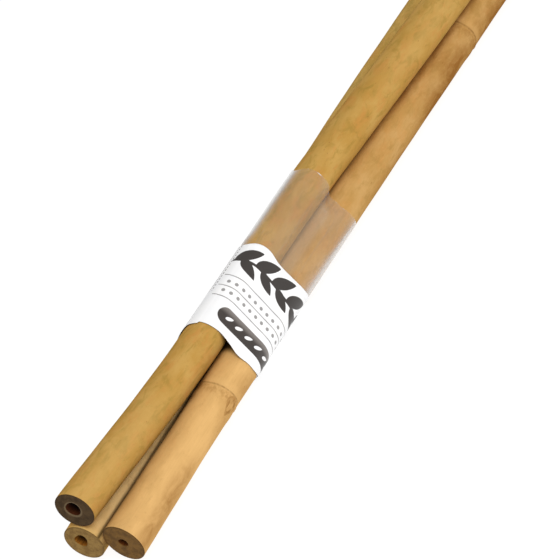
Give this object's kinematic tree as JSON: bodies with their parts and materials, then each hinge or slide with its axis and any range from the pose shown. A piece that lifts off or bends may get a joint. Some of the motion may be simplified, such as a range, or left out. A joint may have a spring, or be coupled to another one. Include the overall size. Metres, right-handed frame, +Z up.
{
  "type": "bamboo cane bundle",
  "caption": "Straight bamboo garden canes lying together, held near one end by a clear film sleeve with a white label, for staking and supporting plants.",
  "frame": {"origin": "middle of the bundle's box, on the surface it lies on", "axes": "+X along the canes, from the sleeve's end to the other; +Y from the front cane to the back cane; +Z up"},
  "size_m": [1.2066, 0.0438, 0.036],
  "materials": {
    "cane_front": "dry bamboo, orange-tan and satin",
    "cane_back": "dry bamboo, dull tan and satin",
    "cane_top": "dry bamboo, olive-golden and mottled",
    "clear_film": "thin clear film, slightly hazy and wrinkled",
    "label_paper": null
  },
  "bodies": {
    "root": {"cane_front": "cane_front", "cane_back": "cane_back", "cane_top": "cane_top", "film_sleeve": "clear_film", "label_band": "label_paper"}
  },
  "joints": []
}
